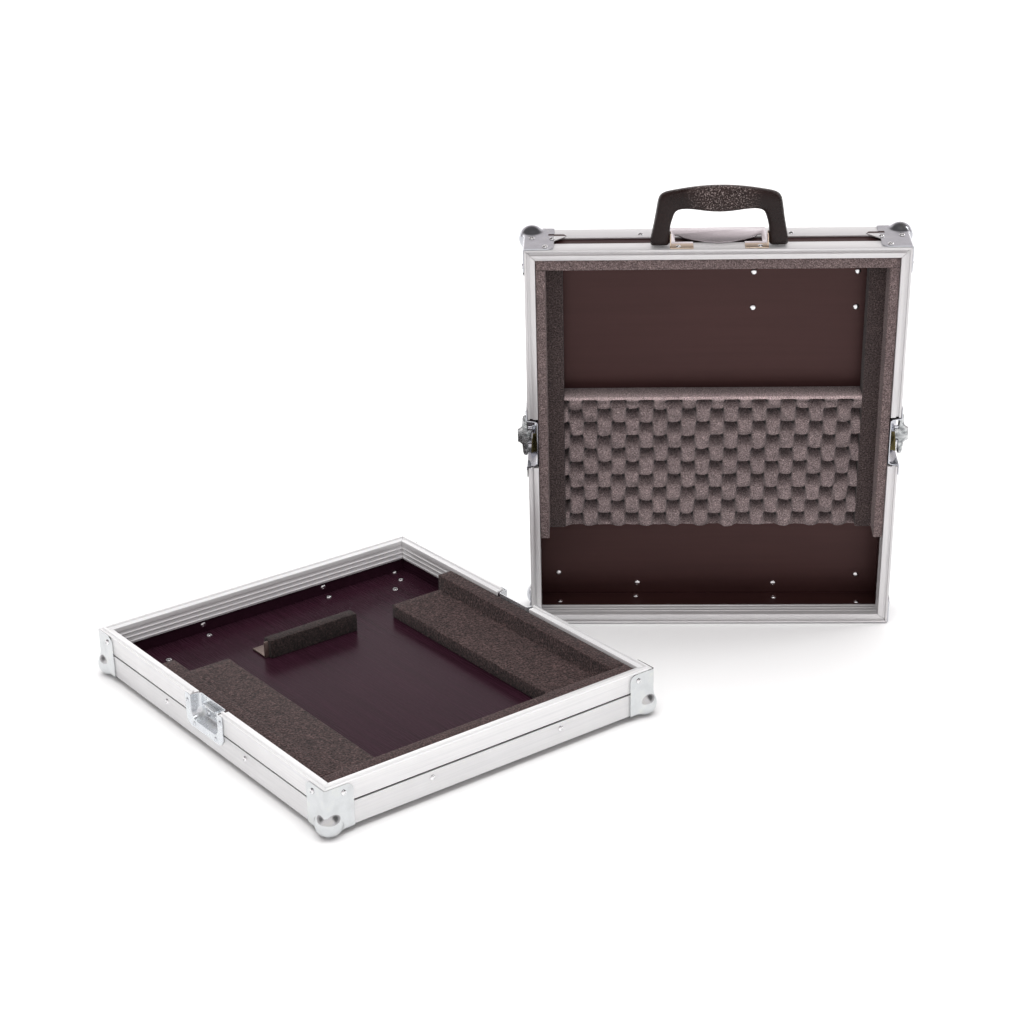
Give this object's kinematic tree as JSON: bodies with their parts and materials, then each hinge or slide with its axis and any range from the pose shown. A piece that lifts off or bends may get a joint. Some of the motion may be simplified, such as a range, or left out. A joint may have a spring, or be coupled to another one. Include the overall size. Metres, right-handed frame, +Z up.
{
  "type": "sampler flight case",
  "caption": "Flight case for a sampler, opened: shallow tray and lift-off lid with recessed butterfly latches, ball corners, carrying handle and foam lining.",
  "frame": {"origin": "on the ground, under the middle of the box around tray and lid", "axes": "+Z up; +X along the lid's width, from the tray towards the lid's right side; +Y from the viewer to the back of the lid"},
  "size_m": [0.9476, 0.657, 0.555],
  "materials": {
    "aluminium": "satin mill-finished extrusion",
    "zinc_plate": "zinc-plated pressed steel",
    "bright_steel": "polished steel",
    "phenolic_plywood": "dark red-brown phenolic film, glossy",
    "foam": "grey-brown open foam",
    "black_plastic": "leather-grained moulding"
  },
  "bodies": {
    "tray": {"cable_stop_angle": "aluminium", "cable_stop_foam": "foam", "tray_angle_back": "aluminium", "tray_angle_front": "aluminium", "tray_angle_left": "aluminium", "tray_angle_right": "aluminium", "tray_ball_corner_back_left": "zinc_plate", "tray_ball_corner_back_right": "zinc_plate", "tray_ball_corner_front_left": "zinc_plate", "tray_ball_corner_front_right": "zinc_plate", "tray_board_back": "phenolic_plywood", "tray_board_front": "phenolic_plywood", "tray_board_left": "phenolic_plywood", "tray_board_right": "phenolic_plywood", "tray_catch_left": "zinc_plate", "tray_catch_right": "zinc_plate", "tray_floor": "phenolic_plywood", "tray_foam_front": "foam", "tray_foam_left": "foam", "tray_foam_right": "foam", "tray_rim_back": "aluminium", "tray_rim_front": "aluminium", "tray_rim_left_back": "aluminium", "tray_rim_left_front": "aluminium", "tray_rim_right_back": "aluminium", "tray_rim_right_front": "aluminium"},
    "lid": {"handle_bracket": "bright_steel", "lid_angle_bottom": "aluminium", "lid_angle_left": "aluminium", "lid_angle_right": "aluminium", "lid_angle_top": "aluminium", "lid_ball_corner_bottom_left": "zinc_plate", "lid_ball_corner_bottom_right": "zinc_plate", "lid_ball_corner_top_left": "zinc_plate", "lid_ball_corner_top_right": "zinc_plate", "lid_board_bottom": "phenolic_plywood", "lid_board_left": "phenolic_plywood", "lid_board_right": "phenolic_plywood", "lid_board_top": "phenolic_plywood", "lid_foam_egg_crate": "foam", "lid_foam_left": "foam", "lid_foam_right": "foam", "lid_foam_top": "foam", "lid_latch_dish_left": "zinc_plate", "lid_latch_dish_right": "zinc_plate", "lid_panel": "phenolic_plywood", "lid_rim_bottom": "aluminium", "lid_rim_left_lower": "aluminium", "lid_rim_left_upper": "aluminium", "lid_rim_right_lower": "aluminium", "lid_rim_right_upper": "aluminium", "lid_rim_top": "aluminium"},
    "left_rotor": {"latch_rotor_left": "zinc_plate"},
    "right_rotor": {"latch_rotor_right": "zinc_plate"},
    "left_wing": {"latch_wing_left": "zinc_plate"},
    "right_wing": {"latch_wing_right": "zinc_plate"},
    "left_hook": {"latch_hook_left": "zinc_plate"},
    "right_hook": {"latch_hook_right": "zinc_plate"},
    "handle": {"carry_handle": "black_plastic"}
  },
  "joints": [
    {"name": "lid_lift", "type": "slide", "parent": "tray", "child": "lid", "axis": [0, 0, 1], "range_m": [0, 0.12]},
    {"name": "left_latch_turn", "type": "hinge", "parent": "lid", "child": "left_rotor", "pos_m": [0.03379, 0.17944, 0.24694], "axis": [-1, 0, 0], "range_deg": [0, 180]},
    {"name": "left_wing_fold", "type": "hinge", "parent": "left_rotor", "child": "left_wing", "pos_m": [0.03129, 0.17944, 0.24694], "axis": [0, 0.1083, -0.9941], "range_deg": [0, 90]},
    {"name": "left_hook_slide", "type": "slide", "parent": "lid", "child": "left_hook", "axis": [0, -0.9941, -0.1083], "range_m": [0, 0.008]},
    {"name": "right_latch_turn", "type": "hinge", "parent": "lid", "child": "right_rotor", "pos_m": [0.45579, 0.17944, 0.24694], "axis": [1, 0, 0], "range_deg": [0, 180]},
    {"name": "right_wing_fold", "type": "hinge", "parent": "right_rotor", "child": "right_wing", "pos_m": [0.45829, 0.17944, 0.24694], "axis": [0, -0.1083, 0.9941], "range_deg": [0, 90]},
    {"name": "right_hook_slide", "type": "slide", "parent": "lid", "child": "right_hook", "axis": [0, -0.9941, -0.1083], "range_m": [0, 0.008]},
    {"name": "handle_fold", "type": "hinge", "parent": "lid", "child": "handle", "pos_m": [0.24679, 0.14242, 0.49438], "axis": [1, 0, 0], "range_deg": [-84, 90]}
  ],
  "couplings": [
    {"joint": "left_latch_turn", "follows": "left_hook_slide", "rad_per_m": 392.7},
    {"joint": "right_latch_turn", "follows": "right_hook_slide", "rad_per_m": 392.7}
  ]
}
